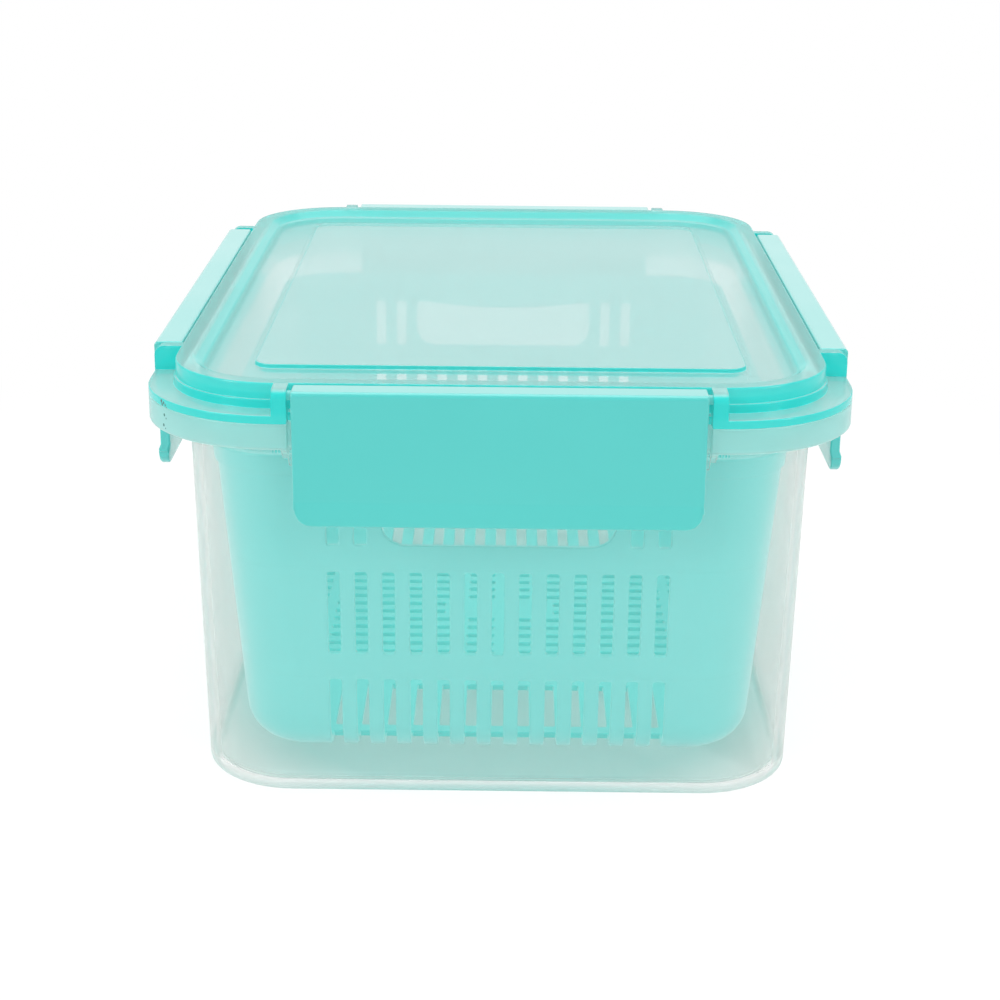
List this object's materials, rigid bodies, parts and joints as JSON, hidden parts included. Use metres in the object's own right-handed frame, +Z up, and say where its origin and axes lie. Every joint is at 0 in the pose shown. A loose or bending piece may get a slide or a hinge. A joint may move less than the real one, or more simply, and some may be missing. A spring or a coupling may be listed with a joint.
{
  "type": "fridge storage box",
  "caption": "Oblong lidded food keeper: frosted tub with a slotted lift-out drainer basket and a translucent gasketed lid held down by hinged latches.",
  "frame": {"origin": "centre of the tub's underside, on the surface the box stands on", "axes": "+Z up, +Y along the long side towards the rear, +X to the right as seen from the front latch"},
  "size_m": [0.1824, 0.2494, 0.1129],
  "materials": {
    "tub": "frosted translucent polypropylene",
    "lid": "satin translucent teal polypropylene",
    "seal": "matte pale silicone",
    "basket": "satin teal polypropylene",
    "latch": "satin mint polypropylene"
  },
  "bodies": {
    "box": {"container": "tub", "lid": "lid", "seal_ring": "seal", "basket": "basket"},
    "front_latch": {"latch_front": "latch"},
    "rear_latch": {"latch_rear": "latch"},
    "left_latch": {"latch_left": "latch"},
    "right_latch": {"latch_right": "latch"}
  },
  "joints": [
    {"name": "front_latch_hinge", "type": "hinge", "parent": "box", "child": "front_latch", "pos_m": [0, -0.1207, 0.1108], "axis": [-1, 0, 0], "range_deg": [0, 120]},
    {"name": "rear_latch_hinge", "type": "hinge", "parent": "box", "child": "rear_latch", "pos_m": [0, 0.1207, 0.1108], "axis": [1, 0, 0], "range_deg": [0, 120]},
    {"name": "left_latch_hinge", "type": "hinge", "parent": "box", "child": "left_latch", "pos_m": [-0.0872, 0, 0.1108], "axis": [0, 1, 0], "range_deg": [0, 120]},
    {"name": "right_latch_hinge", "type": "hinge", "parent": "box", "child": "right_latch", "pos_m": [0.0872, 0, 0.1108], "axis": [0, -1, 0], "range_deg": [0, 120]}
  ]
}
